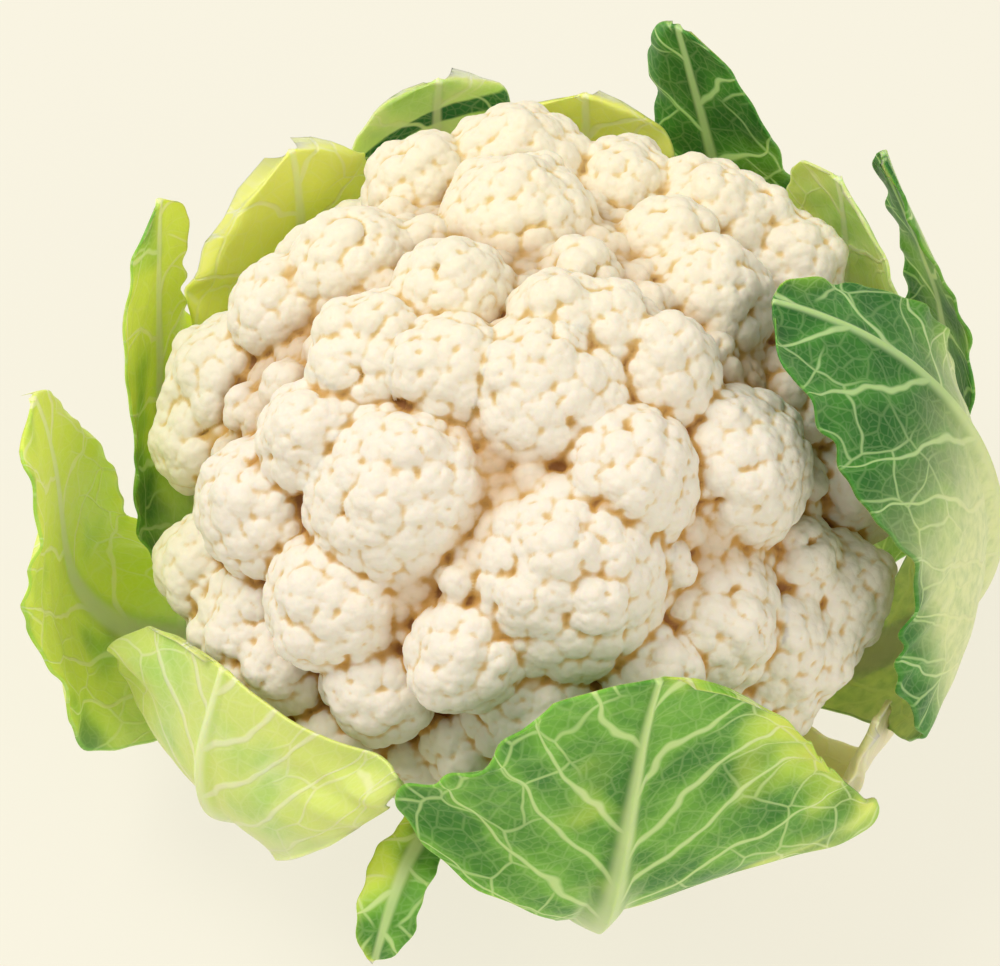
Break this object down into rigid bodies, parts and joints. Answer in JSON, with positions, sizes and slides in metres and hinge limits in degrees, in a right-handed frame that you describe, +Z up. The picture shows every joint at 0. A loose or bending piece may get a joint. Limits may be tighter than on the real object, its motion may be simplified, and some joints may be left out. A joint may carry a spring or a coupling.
{
  "type": "cauliflower",
  "caption": "Head of cauliflower: a white domed curd of knobbly florets on a cut stalk, wrapped in ruffled green leaves with pale midribs.",
  "frame": {"origin": "centre of the stalk's flat cut end, which the head stands on", "axes": "+Z up through the crown of the curd, -Y towards the front leaf, +X towards the large folded leaf"},
  "size_m": [0.2378, 0.2174, 0.1667],
  "materials": {
    "curd": "matte, finely granular, creamy white with warm creases",
    "stalk": "matte, pale green-white, fibrous where cut",
    "leaf_green": "satin, mid green with pale veins",
    "leaf_pale": "satin, pale yellow-green, crumpled",
    "leaf_yellow": "satin, yellow-green",
    "leaf_dark": "satin, dark green with pale veins",
    "leaf_blush": "matte, pale with a pinkish tint"
  },
  "bodies": {
    "root": {"curd": "curd", "stalk": "stalk", "leaf_front": "leaf_green", "leaf_front_left": "leaf_pale", "leaf_left": "leaf_green", "leaf_left_back": "leaf_green", "leaf_curled": "leaf_yellow", "leaf_back_pale": "leaf_pale", "leaf_back_yellow": "leaf_yellow", "leaf_back_dark": "leaf_dark", "leaf_right_back_pale": "leaf_pale", "leaf_right_upright": "leaf_dark", "leaf_right_folded": "leaf_dark", "leaf_small_pale": "leaf_blush", "leaf_front_hanging": "leaf_green"}
  },
  "joints": []
}
